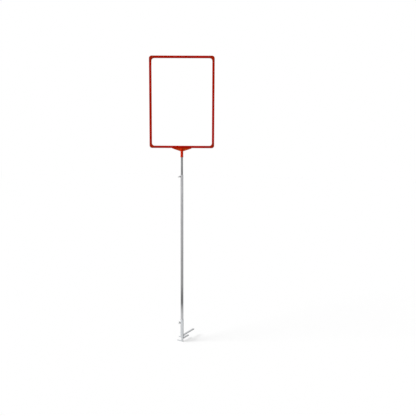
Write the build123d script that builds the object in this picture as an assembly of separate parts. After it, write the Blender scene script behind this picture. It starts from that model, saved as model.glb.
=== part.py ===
from build123d import *

import os
from math import cos, radians, sqrt

# A sign flag: an empty poster frame on a telescopic pole, whose steel foot hooks over the edge of
# whatever board it is pushed on.
# Millimetres. The origin is the inner corner of the hook, where the foot sits on the upper edge of
# the board, straight behind the pole: z = 0 is the underside of the tongue, y = 0 the legs' face on
# the board's edge, and x = 0 the plane of the pole. +Y points into the hook and +Z up the pole.
# Every piece is modelled about the pole's axis and then moved back from the hook by board_face.

# What the foot grips
BOARD_THICKNESS = 22.0
JAW_PLAY = 1.0

# Fits
RUNNING_CLEARANCE = 0.05
PUSH_CLEARANCE = 0.05
SOCKET_CLEARANCE = 0.3
PAD_GAP = 0.05

# How near a corner lies to the place where it is looked for
NEAR = 0.01

# Poster insert and frame profile
INSERT_WIDTH = 420.0
INSERT_HEIGHT = 594.0
INSERT_GRIP = 4.0
PROFILE_WIDTH = 16.0
PROFILE_THICKNESS = 10.0
PROFILE_ROUNDING = 2.0
INSERT_GROOVE_WIDTH = 3.2
INSERT_GROOVE_DEPTH = 5.5
OUTER_GROOVE_WIDTH = 3.5
OUTER_GROOVE_DEPTH = 3.0
CHAMBER_START = 4.5
CHAMBER_DEPTH = 3.5
CHAMBER_WIDTH = 6.0

# Frame corners
CORNER_LEG = 40.0
CORNER_OUTER_RADIUS = 17.5
CORNER_INNER_RADIUS = 18.0
CORNER_PROUD = 0.3
CORNER_CHAMFER = 1.2
CORNER_TONGUE = 22.0
SIGN_TURN = 30.0

# Tee holder between the frame and the upper tube
TEE_SPAN = 132.0
TEE_HEIGHT = 21.0
TEE_SHOULDER = 12.0
TEE_RIB = 3.0
TEE_WEB = 3.0
TEE_KEY_SPAN = 112.0
TEE_SOCKET_LENGTH = 42.0
TEE_SOCKET_WALL = 1.75
TEE_BEAD_PROUD = 1.0
TEE_BEAD_HEIGHT = 13.0
TEE_BEAD_ROUND = 2.5
TEE_BORE_DEPTH = 52.0

# Telescopic pole
UPPER_TUBE_DIAMETER = 15.0
UPPER_TUBE_WALL = 1.0
UPPER_TUBE_LENGTH = 1050.0
LOWER_TUBE_DIAMETER = 19.0
LOWER_TUBE_WALL = 1.2
LOWER_TUBE_LENGTH = 1158.0
REST_REVEAL = 120.5
BUSH_FLANGE = 2.5
BUSH_TO_SCREW = 1.5
GUIDE_LENGTH = 6.0
PLUG_FLANGE = 2.0
SPIGOT_LENGTH = 15.0

# Clamp screws with their weld nuts and pressure pads
THREAD_DIAMETER = 6.0
NUT_ACROSS_FLATS = 10.0
NUT_HEIGHT = 5.0
PAD_LENGTH = 3.0
HUB_GAP = 4.5
HUB_LENGTH = 8.0
HUB_BASE_RADIUS = 5.0
HUB_END_RADIUS = 4.0
WING_REACH = 7.6
WING_LOBE_RADIUS = 4.2
WING_ROOT_RADIUS = 2.4
WING_RISE = 2.0
WING_THICKNESS = 2.8
WING_FOOT_GAP = 0.6
CLAMP_DROP = 13.0
CLAMP_WING_ANGLE = 40.0
SOCKET_DROP = 28.0
SOCKET_WING_ANGLE = 20.0

# Steel foot
SOCKET_WALL = 1.2
SOCKET_TOP = 119.0
SOCKET_BOTTOM = -12.0
FLOOR_THICKNESS = 3.0
BAR_WIDTH = 15.0
BAR_THICKNESS = 5.0
BEND_RADIUS = 1.5
TUBE_SEAT_DEPTH = 0.5
TONGUE_OFFSET = 4.5
TONGUE_REACH = 135.0
PRONG_OFFSET = -3.5
PRONG_REACH = 75.0
LEG_WELD_HEIGHT = -5.0

# Side jaw under the socket, with its arms to the left
JAW_PLATE_THICKNESS = 6.0
ARM_HEIGHT = 7.0
UPPER_ARM_REACH = 32.0
LOWER_ARM_REACH = 46.0
ARM_ROUNDING = 3.4
JAW_ROUNDING = 5.0

# Worked out from the sizes above
upper_radius = UPPER_TUBE_DIAMETER / 2
upper_bore_radius = upper_radius - UPPER_TUBE_WALL
lower_radius = LOWER_TUBE_DIAMETER / 2
lower_bore_radius = lower_radius - LOWER_TUBE_WALL
socket_bore_radius = lower_radius + SOCKET_CLEARANCE
socket_radius = socket_bore_radius + SOCKET_WALL
thread_radius = THREAD_DIAMETER / 2
shank_radius = thread_radius - RUNNING_CLEARANCE

board_face = socket_radius + BAR_THICKNESS - TUBE_SEAT_DEPTH
plate_front = board_face - BAR_THICKNESS
jaw_height = BOARD_THICKNESS + JAW_PLAY
prong_top = -jaw_height
jaw_bottom = SOCKET_BOTTOM - 2 * ARM_HEIGHT - jaw_height

pole_foot = SOCKET_BOTTOM + FLOOR_THICKNESS
lower_tube_bottom = pole_foot + PLUG_FLANGE
lower_tube_top = lower_tube_bottom + LOWER_TUBE_LENGTH
mouth = lower_tube_top + BUSH_FLANGE
clamp_height = mouth - CLAMP_DROP
socket_screw_height = SOCKET_TOP - SOCKET_DROP

tee_bottom = mouth + REST_REVEAL
upper_tube_top = tee_bottom + TEE_BORE_DEPTH
upper_tube_bottom = upper_tube_top - UPPER_TUBE_LENGTH
frame_bottom = tee_bottom + TEE_SOCKET_LENGTH + TEE_HEIGHT
tee_radius = upper_radius + RUNNING_CLEARANCE + TEE_SOCKET_WALL

frame_width = INSERT_WIDTH - 2 * INSERT_GRIP + 2 * PROFILE_WIDTH
frame_height = INSERT_HEIGHT - 2 * INSERT_GRIP + 2 * PROFILE_WIDTH
frame_middle = frame_bottom + frame_height / 2


def ring(outer: float, inner: float, low: float, high: float) -> Part:
    """A tube about the pole's axis between two heights."""
    wall = Cylinder(outer, high - low) - Cylinder(inner, high - low)
    return Pos(0, 0, (low + high) / 2) * wall


def disc(radius: float, low: float, high: float) -> Part:
    """A solid round piece about the pole's axis between two heights."""
    return Pos(0, 0, (low + high) / 2) * Cylinder(radius, high - low)


def block(x: tuple, y: tuple, z: tuple) -> Part:
    """A rectangular block given by its limits along each axis."""
    middle = [(low + high) / 2 for low, high in (x, y, z)]
    return Pos(*middle) * Box(x[1] - x[0], y[1] - y[0], z[1] - z[0])


def beside_pole(shape: Part, height: float) -> Part:
    """Turns a piece modelled along +Z so that it points out of the pole along -X at a height."""
    return Pos(0, 0, height) * Rot(0, -90, 0) * shape


def on_sign(shape: Part) -> Part:
    """Turns a piece of the sign from the foot's front to the way the sign faces."""
    return Rot(0, 0, SIGN_TURN) * shape


def rail_section() -> Sketch:
    """Section of a frame rail: outer groove, hollow chamber and insert groove.

    x runs inwards from the rail's outer edge, y across its thickness.
    """
    grooves = Pos(OUTER_GROOVE_DEPTH / 2, 0) * Rectangle(OUTER_GROOVE_DEPTH, OUTER_GROOVE_WIDTH)
    grooves += Pos(PROFILE_WIDTH - INSERT_GROOVE_DEPTH / 2, 0) * Rectangle(
        INSERT_GROOVE_DEPTH, INSERT_GROOVE_WIDTH
    )
    chamber = Pos(CHAMBER_START + CHAMBER_DEPTH / 2, 0) * Rectangle(CHAMBER_DEPTH, CHAMBER_WIDTH)
    outline = Pos(PROFILE_WIDTH / 2, 0) * RectangleRounded(
        PROFILE_WIDTH, PROFILE_THICKNESS, PROFILE_ROUNDING
    )
    return outline - grooves - chamber


def rail(length: float, side: float) -> Part:
    """A frame rail of a length between its corners, on the side of the frame at an angle.

    The angle turns the rail about the frame's centre: 0 is the left side, 90 the bottom.
    """
    half = frame_width / 2 if side % 180 == 0 else frame_height / 2
    bar = extrude(rail_section(), length / 2, both=True)
    upright = Pos(-half, 0, 0) * bar
    return on_sign(Pos(0, 0, frame_middle) * Rot(0, -side, 0) * upright)


def corner_outline() -> Sketch:
    """Face of a corner piece, with the frame's outer corner at the origin and legs along +x, +y."""
    turn = cos(radians(45))
    outer_mid = CORNER_OUTER_RADIUS * (1 - turn)
    inner_end = PROFILE_WIDTH + CORNER_INNER_RADIUS
    inner_mid = inner_end - CORNER_INNER_RADIUS * turn
    edge = Polyline(
        (0, CORNER_OUTER_RADIUS),
        (0, CORNER_LEG),
        (PROFILE_WIDTH, CORNER_LEG),
        (PROFILE_WIDTH, inner_end),
    )
    edge += ThreePointArc((PROFILE_WIDTH, inner_end), (inner_mid, inner_mid), (inner_end, PROFILE_WIDTH))
    edge += Polyline(
        (inner_end, PROFILE_WIDTH),
        (CORNER_LEG, PROFILE_WIDTH),
        (CORNER_LEG, 0),
        (CORNER_OUTER_RADIUS, 0),
    )
    edge += ThreePointArc((CORNER_OUTER_RADIUS, 0), (outer_mid, outer_mid), (0, CORNER_OUTER_RADIUS))
    return make_face(edge)


def corner(side: int, level: int) -> Part:
    """A moulded corner piece with a tongue for each rail.

    side is -1 at the left and 1 at the right, level -1 at the bottom and 1 at the top.
    """
    thickness = PROFILE_THICKNESS + 2 * CORNER_PROUD
    body = extrude(corner_outline(), thickness / 2, both=True)
    body = chamfer(body.faces().sort_by(Axis.Z)[-1].edges(), CORNER_CHAMFER)
    body = chamfer(body.faces().sort_by(Axis.Z)[0].edges(), CORNER_CHAMFER)
    start = PROFILE_WIDTH - INSERT_GROOVE_DEPTH
    pocket = (start, CORNER_LEG)
    body -= block(pocket, pocket, (-INSERT_GROOVE_WIDTH / 2, INSERT_GROOVE_WIDTH / 2))
    low = CHAMBER_START + PUSH_CLEARANCE
    across = (low, CHAMBER_START + CHAMBER_DEPTH - PUSH_CLEARANCE)
    reach = (CORNER_LEG, CORNER_LEG + CORNER_TONGUE)
    thick = CHAMBER_WIDTH / 2 - PUSH_CLEARANCE
    body += block(across, reach, (-thick, thick)) + block(reach, across, (-thick, thick))
    upright = Pos(-frame_width / 2, 0, -frame_height / 2) * Rot(90, 0, 0) * body
    if side > 0:
        upright = mirror(upright, Plane.YZ)
    if level > 0:
        upright = mirror(upright, Plane.XY)
    return on_sign(Pos(0, 0, frame_middle) * upright)


def tee_outline(inset: float) -> Sketch:
    """Gusset of the tee holder seen from the front, drawn in from its edges by an inset."""
    low = frame_bottom - TEE_HEIGHT + inset
    high = frame_bottom - inset
    slope = (TEE_SPAN / 2 - TEE_SHOULDER) / (TEE_HEIGHT - TEE_RIB)
    lean = inset * sqrt(1 + slope**2)
    end = TEE_SPAN / 2 - lean
    shoulder = TEE_SHOULDER - inset
    corners = [
        (-end, high),
        (-shoulder, low),
        (shoulder, low),
        (end, high),
    ]
    if inset == 0:
        lip = frame_bottom - TEE_RIB
        corners = [(-end, high), (-end, lip), (-shoulder, low), (shoulder, low), (end, lip), (end, high)]
    return Plane.XZ * make_face(Polyline(*corners, close=True))


def tee_bead_section(top: float) -> Sketch:
    """Half section of the thicker lip at the socket's lower end, rounded in below."""
    wide = tee_radius + TEE_BEAD_PROUD
    belly = tee_bottom + TEE_BEAD_ROUND
    turn = cos(radians(45))
    mid = (wide - TEE_BEAD_ROUND * (1 - turn), belly - TEE_BEAD_ROUND * turn)
    edge = Polyline((wide - TEE_BEAD_ROUND, tee_bottom), (0, tee_bottom), (0, top), (tee_radius, top))
    edge += Line((tee_radius, top), (wide, belly))
    edge += ThreePointArc((wide, belly), mid, (wide - TEE_BEAD_ROUND, tee_bottom))
    return make_face(edge)


def tee_holder() -> Part:
    """Moulded holder: a key in the frame's outer groove, a ribbed gusset and a tube socket."""
    half = PROFILE_THICKNESS / 2
    gusset = extrude(tee_outline(0), half, both=True)
    pocket = extrude(tee_outline(TEE_RIB), half, both=True)
    pocket -= block(
        (-TEE_SPAN, TEE_SPAN),
        (-TEE_WEB / 2, TEE_WEB / 2),
        (frame_bottom - TEE_HEIGHT, frame_bottom),
    )
    bead_top = tee_bottom + TEE_BEAD_HEIGHT
    column = disc(tee_radius, bead_top, frame_bottom - TEE_RIB)
    bead = revolve(Plane.XZ * tee_bead_section(bead_top), Axis.Z)
    key_half = OUTER_GROOVE_WIDTH / 2 - PUSH_CLEARANCE
    key = block(
        (-TEE_KEY_SPAN / 2, TEE_KEY_SPAN / 2),
        (-key_half, key_half),
        (frame_bottom - TEE_RIB, frame_bottom + OUTER_GROOVE_DEPTH - PUSH_CLEARANCE),
    )
    bore = disc(upper_radius + RUNNING_CLEARANCE, tee_bottom, upper_tube_top)
    return on_sign(gusset - pocket + column + bead + key - bore)


def upper_tube_guide() -> Part:
    """Plastic guide in the lower end of the upper tube, running in the lower tube's bore."""
    running_radius = lower_bore_radius - RUNNING_CLEARANCE
    flange = disc(running_radius, upper_tube_bottom - GUIDE_LENGTH, upper_tube_bottom)
    spigot = disc(
        upper_bore_radius - PUSH_CLEARANCE, upper_tube_bottom, upper_tube_bottom + SPIGOT_LENGTH
    )
    return flange + spigot


def screw_hole(inner: float, outer: float, height: float) -> Part:
    """The clear hole for a clamp screw through a tube's wall, between two distances from the axis."""
    drill = Pos(0, 0, (inner + outer) / 2) * Cylinder(thread_radius, outer - inner)
    return beside_pole(drill, height)


def lower_tube() -> Part:
    """Outer tube of the telescope, drilled for the clamp screw."""
    tube = ring(lower_radius, lower_bore_radius, lower_tube_bottom, lower_tube_top)
    return tube - screw_hole(0, 2 * lower_radius, clamp_height)


def mouth_bush() -> Part:
    """Plastic bush in the lower tube's mouth, which centres the upper tube."""
    inner = upper_radius + RUNNING_CLEARANCE
    flange = ring(lower_radius, inner, lower_tube_top, mouth)
    sleeve_end = clamp_height + thread_radius + BUSH_TO_SCREW
    sleeve = ring(lower_bore_radius - PUSH_CLEARANCE, inner, sleeve_end, lower_tube_top)
    return flange + sleeve


def lower_tube_plug() -> Part:
    """Plastic plug that closes the lower tube and stands on the socket's floor."""
    flange = disc(lower_radius, pole_foot, lower_tube_bottom)
    spigot = disc(
        lower_bore_radius - PUSH_CLEARANCE, lower_tube_bottom, lower_tube_bottom + SPIGOT_LENGTH
    )
    return flange + spigot


def weld_nut(seat: float, height: float) -> Part:
    """Hexagonal nut saddled to the outside of a tube of radius seat."""
    sagitta = seat - sqrt(seat**2 - (NUT_ACROSS_FLATS / 2) ** 2)
    hexagon = RegularPolygon(NUT_ACROSS_FLATS / 2, 6, major_radius=False)
    blank = extrude(hexagon - Circle(thread_radius), NUT_HEIGHT + 2 * sagitta)
    nut = beside_pole(Pos(0, 0, seat - 2 * sagitta) * blank, height)
    return nut - disc(seat, height - NUT_ACROSS_FLATS, height + NUT_ACROSS_FLATS)


def pressure_pad(target: float, height: float) -> Part:
    """Nylon pad between a clamp screw and a tube of radius target, hollowed to the tube."""
    pad = Pos(0, 0, target + PAD_LENGTH / 2) * Cylinder(shank_radius, PAD_LENGTH)
    hollow = disc(target + PAD_GAP, height - THREAD_DIAMETER, height + THREAD_DIAMETER)
    return beside_pole(pad, height) - hollow


def wing_screw(target: float, seat: float, height: float, angle: float) -> Part:
    """Wing screw in the nut on a tube of radius seat, its tip on the pad of a tube of radius target."""
    tip = target + PAD_LENGTH
    hub = seat + NUT_HEIGHT + HUB_GAP
    shank = Pos(0, 0, (tip + hub) / 2) * Cylinder(shank_radius, hub - tip)
    head = Pos(0, 0, hub + HUB_LENGTH / 2) * Cone(HUB_BASE_RADIUS, HUB_END_RADIUS, HUB_LENGTH)
    root = Pos(0, WING_ROOT_RADIUS + WING_FOOT_GAP) * Circle(WING_ROOT_RADIUS)
    lobe_height = HUB_LENGTH + WING_RISE - WING_LOBE_RADIUS
    wings = Sketch()
    for side in (-1, 1):
        lobe = Pos(side * WING_REACH, lobe_height) * Circle(WING_LOBE_RADIUS)
        wings += make_hull([*root.edges(), *lobe.edges()])
    plate = extrude(Plane.XZ * wings, WING_THICKNESS / 2, both=True)
    return beside_pole(shank + head + Rot(0, 0, angle) * Pos(0, 0, hub) * plate, height)


def socket_tube() -> Part:
    """Steel socket that holds the pole, drilled for its own screw."""
    tube = ring(socket_radius, socket_bore_radius, SOCKET_BOTTOM, SOCKET_TOP)
    return tube - screw_hole(0, 2 * socket_radius, socket_screw_height)


def foot_side_jaw() -> Part:
    """Plate under the socket and on the prong's leg, with two arms: a jaw for a board's edge."""
    back = PRONG_OFFSET - BAR_WIDTH / 2
    face = Pos(PRONG_OFFSET, (SOCKET_BOTTOM + jaw_bottom) / 2) * Rectangle(
        BAR_WIDTH, SOCKET_BOTTOM - jaw_bottom
    )
    upper = (SOCKET_BOTTOM - ARM_HEIGHT / 2, UPPER_ARM_REACH)
    lower = (jaw_bottom + ARM_HEIGHT / 2, LOWER_ARM_REACH)
    for level, reach in (upper, lower):
        face += Pos((back - reach) / 2, level) * Rectangle(reach + back, ARM_HEIGHT)
    tips = face.vertices().group_by(Axis.X)[0] + face.vertices().group_by(Axis.X)[1]
    face = fillet(tips, ARM_ROUNDING)
    inner = face.vertices().filter_by_position(Axis.X, back - NEAR, back + NEAR)
    face = fillet(inner, JAW_ROUNDING)
    plate = extrude(Plane.XZ * face, JAW_PLATE_THICKNESS / 2, both=True)
    return Pos(0, plate_front - JAW_PLATE_THICKNESS / 2, 0) * plate


def bent_bar(reach: float, seat: float, bar_side: int, offset: float) -> Part:
    """Flat bar with a leg on the board's edge, bent over to lie on or under the board.

    reach is how far it lies on the board, seat the height of the face that touches the board,
    bar_side 1 above the board and -1 below it, offset how far it stands to the right of the pole.
    """
    tip = board_face + reach
    far = seat + bar_side * BAR_THICKNESS
    side = Polyline(
        (plate_front, LEG_WELD_HEIGHT),
        (board_face, LEG_WELD_HEIGHT),
        (board_face, seat),
        (tip, seat),
        (tip, far),
        (plate_front, far),
        close=True,
    )
    face = make_face(side)
    outer = face.vertices().filter_by_position(Axis.Y, far - NEAR, far + NEAR).sort_by(Axis.X)[0]
    face = fillet(outer, BEND_RADIUS + BAR_THICKNESS)
    inner = face.vertices().filter_by_position(Axis.Y, seat - NEAR, seat + NEAR).sort_by(Axis.X)[0]
    face = fillet(inner, BEND_RADIUS)
    half = BAR_WIDTH / 2
    plan = Pos(0, tip / 2 - half / 2) * Rectangle(BAR_WIDTH, tip - half)
    plan += Pos(0, tip - half) * Circle(half)
    bar = extrude(Plane.YZ * face, half, both=True) & extrude(plan, 2 * BOARD_THICKNESS, both=True)
    top = max(far, LEG_WELD_HEIGHT) + 1
    return Pos(offset, 0, 0) * bar - disc(socket_radius, SOCKET_BOTTOM, top)


def foot_tongue() -> Part:
    """Bent bar that lies on the board."""
    return bent_bar(TONGUE_REACH, 0, 1, TONGUE_OFFSET)


def foot_prong() -> Part:
    """Bent bar under the board."""
    return bent_bar(PRONG_REACH, prong_top, -1, PRONG_OFFSET)


def build_parts() -> dict[str, Part]:
    """Every piece of the flag by its name."""
    rail_height = frame_height - 2 * CORNER_LEG
    rail_width = frame_width - 2 * CORNER_LEG
    parts = {
        "frame_left_rail": rail(rail_height, 0),
        "frame_bottom_rail": rail(rail_width, 90),
        "frame_right_rail": rail(rail_height, 180),
        "frame_top_rail": rail(rail_width, 270),
        "tee_holder": tee_holder(),
        "upper_tube": ring(upper_radius, upper_bore_radius, upper_tube_bottom, upper_tube_top),
        "upper_tube_guide": upper_tube_guide(),
        "lower_tube": lower_tube(),
        "mouth_bush": mouth_bush(),
        "lower_tube_plug": lower_tube_plug(),
        "clamp_nut": weld_nut(lower_radius, clamp_height),
        "clamp_pad": pressure_pad(upper_radius, clamp_height),
        "clamp_wing_screw": wing_screw(upper_radius, lower_radius, clamp_height, CLAMP_WING_ANGLE),
        "socket_tube": socket_tube(),
        "socket_floor": disc(socket_bore_radius - PUSH_CLEARANCE, SOCKET_BOTTOM, pole_foot),
        "socket_nut": weld_nut(socket_radius, socket_screw_height),
        "socket_pad": pressure_pad(lower_radius, socket_screw_height),
        "socket_wing_screw": wing_screw(
            lower_radius, socket_radius, socket_screw_height, SOCKET_WING_ANGLE
        ),
        "foot_side_jaw": foot_side_jaw(),
        "foot_tongue": foot_tongue(),
        "foot_prong": foot_prong(),
    }
    for side, across in ((-1, "left"), (1, "right")):
        for level, up in ((-1, "bottom"), (1, "top")):
            parts[f"frame_corner_{up}_{across}"] = corner(side, level)
    return parts


os.makedirs("parts", exist_ok=True)
for name, shape in build_parts().items():
    export_step(Pos(0, -board_face, 0) * shape, f"parts/{name}.step")
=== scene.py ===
"""A sign flag: a red poster frame on a telescopic steel pole, whose steel foot hooks over a board.

Metres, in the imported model's frame. +Z runs up the pole, +Y into the foot's hook, and the origin is
the hook's inner corner. The sign is turned about the pole.
"""

import logging
import math
from collections.abc import Iterator
from contextlib import contextmanager
from dataclasses import dataclass, field
from enum import Enum

import bpy
from mathutils import Matrix, Vector


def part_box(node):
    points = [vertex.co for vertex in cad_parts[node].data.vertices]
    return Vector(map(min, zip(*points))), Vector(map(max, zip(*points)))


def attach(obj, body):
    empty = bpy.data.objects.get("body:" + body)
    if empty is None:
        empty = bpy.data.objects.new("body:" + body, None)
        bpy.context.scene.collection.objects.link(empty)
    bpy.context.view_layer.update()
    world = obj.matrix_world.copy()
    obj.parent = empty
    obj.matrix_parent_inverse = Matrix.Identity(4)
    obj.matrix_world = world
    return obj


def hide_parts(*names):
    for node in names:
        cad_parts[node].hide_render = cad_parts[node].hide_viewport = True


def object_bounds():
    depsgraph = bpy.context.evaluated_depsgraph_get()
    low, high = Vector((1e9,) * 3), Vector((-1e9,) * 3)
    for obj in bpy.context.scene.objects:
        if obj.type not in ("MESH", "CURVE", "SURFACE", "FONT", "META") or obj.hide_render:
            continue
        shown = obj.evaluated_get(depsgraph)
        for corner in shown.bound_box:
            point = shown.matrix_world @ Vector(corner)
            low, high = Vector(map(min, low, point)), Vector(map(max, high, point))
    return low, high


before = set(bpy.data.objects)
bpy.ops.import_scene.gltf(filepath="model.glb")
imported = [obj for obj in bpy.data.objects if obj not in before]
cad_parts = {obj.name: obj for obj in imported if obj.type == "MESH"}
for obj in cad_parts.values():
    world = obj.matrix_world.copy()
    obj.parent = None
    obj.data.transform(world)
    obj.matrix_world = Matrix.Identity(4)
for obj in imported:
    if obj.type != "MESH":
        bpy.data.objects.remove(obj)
CAD_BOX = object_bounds()
LOG = logging.getLogger("sign_flag")

MM = 0.001
FULL_TURN = 2 * math.pi
QUARTER_TURN = math.pi / 2
SMOOTH_ANGLE = math.radians(32)
MERGE_DISTANCE = 0.001 * MM
FLAT_ANGLE = math.radians(0.5)
SCREW_HOLE_RADIUS = 3.1 * MM
SCREW_HOLE_SIDES = 48
DRILL_START = 1 * MM
SIGN_TURN = math.radians(30)
CLAMP_WING_ANGLE = math.radians(70)
SOCKET_WING_ANGLE = math.radians(20)
WHITE = (1, 1, 1, 1)
RED_SHEEN = (1.0, 0.3, 0.2, 1.0)

# A cloud pattern's middle, and how far to each side of it a wide or a narrow stretch reaches
PATTERN_MIDDLE = 0.5
WIDE = 0.2
NARROW = 0.15

Colour = tuple[int, int, int]
Pair = tuple[float, float]
Triple = tuple[float, float, float]
Outline = list[Pair]
Socket = bpy.types.NodeSocket
Sockets = dict[str | int, object]


def linear(colour: Colour) -> tuple[float, float, float, float]:
    """Turns a display colour into the linear values that a shader takes.

    Args:
        colour: Red, green and blue from 0 to 255.

    Returns:
        Linear red, green, blue and an alpha of 1.
    """

    def channel(value: int) -> float:
        """Linear value of one channel, on the standard display curve."""
        share = value / 255
        return share / 12.92 if share <= 0.04045 else ((share + 0.055) / 1.055) ** 2.4

    red, green, blue = map(channel, colour)
    return red, green, blue, 1.0


def toned(colour: Colour, share: float) -> Colour:
    """A colour made darker or lighter by a share of itself."""
    red, green, blue = (max(0, min(255, round(value * share))) for value in colour)
    return red, green, blue


class Body(Enum):
    """The moving bodies that the pieces ride on."""

    FOOT = "foot"
    LOWER_POLE = "lower_pole"
    UPPER_POLE = "upper_pole"
    SIGN = "sign"
    CLAMP_SCREW = "clamp_screw"
    SOCKET_SCREW = "socket_screw"


class Run(Enum):
    """Which way the lines of an extruded rail run."""

    UPRIGHT = "upright"
    LEVEL = "level"


def pole_axis() -> Vector:
    """The place of the pole's axis, at height 0."""
    low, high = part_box("lower_tube")
    return Vector(((low.x + high.x) / 2, (low.y + high.y) / 2, 0))


class Shader:
    """A material's node tree, with one method for each step that a finish takes."""

    def __init__(self, name: str, **constants: float | tuple[float, ...]) -> None:
        """Makes the material with what is the same all over its surface.

        Args:
            name: The material's name.
            constants: Values of the surface's sockets, with _ for a space in their names.
        """
        self.material = bpy.data.materials.new(name)
        self.material.use_nodes = True
        self.tree = self.material.node_tree
        self.surface = self.tree.nodes["Principled BSDF"]
        for socket, value in constants.items():
            self.surface.inputs[socket.replace("_", " ")].default_value = value

    @classmethod
    def of_tree(cls, tree: bpy.types.NodeTree) -> "Shader":
        """Gives the same methods to a tree that is no material's.

        Args:
            tree: The node tree.

        Returns:
            A shader without a material or a surface.
        """
        shader = cls.__new__(cls)
        shader.tree = tree
        return shader

    def add(self, kind: str, sockets: Sockets | None = None, **settings: object) -> bpy.types.Node:
        """Adds a node and fills its sockets.

        Args:
            kind: The node's type without ShaderNode.
            sockets: Value, or socket to link from, by the name or number of the input.
            settings: Properties of the node.

        Returns:
            The new node.
        """
        node = self.tree.nodes.new("ShaderNode" + kind)
        for name, value in settings.items():
            setattr(node, name, value)
        for name, value in (sockets or {}).items():
            if isinstance(value, Socket):
                self.tree.links.new(value, node.inputs[name])
            else:
                node.inputs[name].default_value = value
        return node

    def where(self, size: Triple = (1, 1, 1), turn: float = 0.0) -> Socket:
        """Object coordinates about the pole's axis, measured in the size of a pattern.

        Args:
            size: The pattern's size along each of its axes.
            turn: How far the pattern is turned about Z.

        Returns:
            The vector socket.
        """
        place = self.add("TexCoord").outputs["Object"]
        sockets = {"Vector": place, "Location": pole_axis(), "Rotation": (0, 0, turn), "Scale": size}
        return self.add("Mapping", sockets, vector_type="TEXTURE").outputs[0]

    def round_pole(self, size: Triple) -> Socket:
        """Coordinates of angle round the pole, distance from its axis, and height.

        Args:
            size: The pattern's size as an angle, a distance from the axis and a height.

        Returns:
            The vector socket, measured in the pattern's size.
        """
        parts = self.add("SeparateXYZ", {0: self.where()})
        angle = self.math("ARCTAN2", parts.outputs["Y"], parts.outputs["X"])
        flat = self.add("CombineXYZ", {0: parts.outputs["X"], 1: parts.outputs["Y"]}).outputs[0]
        away = self.add("VectorMath", {0: flat}, operation="LENGTH").outputs["Value"]
        joined = self.add("CombineXYZ", {0: angle, 1: away, 2: parts.outputs["Z"]}).outputs[0]
        scale = tuple(1 / share for share in size)
        return self.add("VectorMath", {0: joined, 1: scale}, operation="MULTIPLY").outputs[0]

    def noise(self, place: Socket, detail: float = 2.0, rough: float = 0.5) -> Socket:
        """A cloud pattern of about one size unit, from 0 to 1."""
        sockets = {"Vector": place, "Scale": 1.0, "Detail": detail, "Roughness": rough}
        return self.add("TexNoise", sockets).outputs[0]

    def math(self, operation: str, *values: object) -> Socket:
        """The result of a maths node on values or sockets."""
        return self.add("Math", dict(enumerate(values)), operation=operation).outputs[0]

    def scaled(self, value: Socket, share: float) -> Socket:
        """A share of a value."""
        return self.math("MULTIPLY", value, share)

    def level(
        self, value: Socket, start: float, end: float, low: float = 0.0, high: float = 1.0
    ) -> Socket:
        """Spreads the stretch of a value from start to end over low to high, and holds it outside."""
        return self.add("MapRange", {0: value, 1: start, 2: end, 3: low, 4: high}).outputs[0]

    def spread(
        self, pattern: Socket, low: float = 0.0, high: float = 1.0, half: float = WIDE
    ) -> Socket:
        """Spreads the middle of a cloud pattern, half to each side, over low to high."""
        return self.level(pattern, PATTERN_MIDDLE - half, PATTERN_MIDDLE + half, low, high)

    def blend(self, share: object, first: object, second: object) -> Socket:
        """Goes from one colour to another.

        Args:
            share: How much of the second colour there is, as a value or a socket.
            first: The colour at a share of 0, as a display colour or a socket.
            second: The colour at a share of 1, likewise.

        Returns:
            The colour socket.
        """
        ends = [linear(end) if isinstance(end, tuple) else end for end in (first, second)]
        sockets = {0: share, 6: ends[0], 7: ends[1]}
        return self.add("Mix", sockets, data_type="RGBA").outputs[2]

    def mottled(self, pattern: Socket, colour: Colour, tones: Pair, half: float = WIDE) -> Socket:
        """A colour that wanders with a pattern between a darker and a lighter tone of itself."""
        darker, lighter = (toned(colour, tone) for tone in tones)
        return self.blend(self.spread(pattern, half=half), darker, lighter)

    def relief(self, height: Socket, depth: float, below: Socket | None = None) -> Socket:
        """Makes a bump, by itself or on another one.

        Args:
            height: The bump's shape, from 0 to 1.
            depth: Its depth in metres.
            below: The bump that it lies on.

        Returns:
            The normal socket.
        """
        sockets = {"Height": height, "Distance": depth, "Strength": 1.0}
        if below:
            sockets["Normal"] = below
        return self.add("Bump", sockets).outputs[0]

    def worn_edge(self, start: float, end: float) -> Socket:
        """0 on flat stretches and 1 along outer edges."""
        return self.level(self.add("NewGeometry").outputs["Pointiness"], start, end)

    def finish(self, colour: Socket, rough: Socket, normal: Socket) -> bpy.types.Material:
        """Links what varies over the surface.

        Args:
            colour: The base colour.
            rough: The roughness.
            normal: The normal, with its bumps.

        Returns:
            The finished material.
        """
        for name, value in (("Base Color", colour), ("Roughness", rough), ("Normal", normal)):
            self.tree.links.new(value, self.surface.inputs[name])
        return self.material


@dataclass(frozen=True)
class Flecks:
    """Scattered marks of use, which lie where a cloud pattern runs high."""

    size: Triple
    stretch: Pair = (0.6, 0.72)
    share: float = 0.3
    rougher: float = 0.12

    def over(
        self, shader: Shader, colour: Socket, rough: Socket, marked: Colour, turn: float = 0.0
    ) -> tuple[Socket, Socket]:
        """Lays the marks over a finish.

        Args:
            shader: The finish's shader.
            colour: Its colour so far.
            rough: Its roughness so far.
            marked: The marks' own colour.
            turn: How far the marks are turned about Z.

        Returns:
            The colour and the roughness with the marks.
        """
        marks = shader.level(shader.noise(shader.where(self.size, turn), detail=4), *self.stretch)
        colour = shader.blend(shader.scaled(marks, self.share), colour, marked)
        return colour, shader.math("ADD", rough, shader.scaled(marks, self.rougher))


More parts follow.
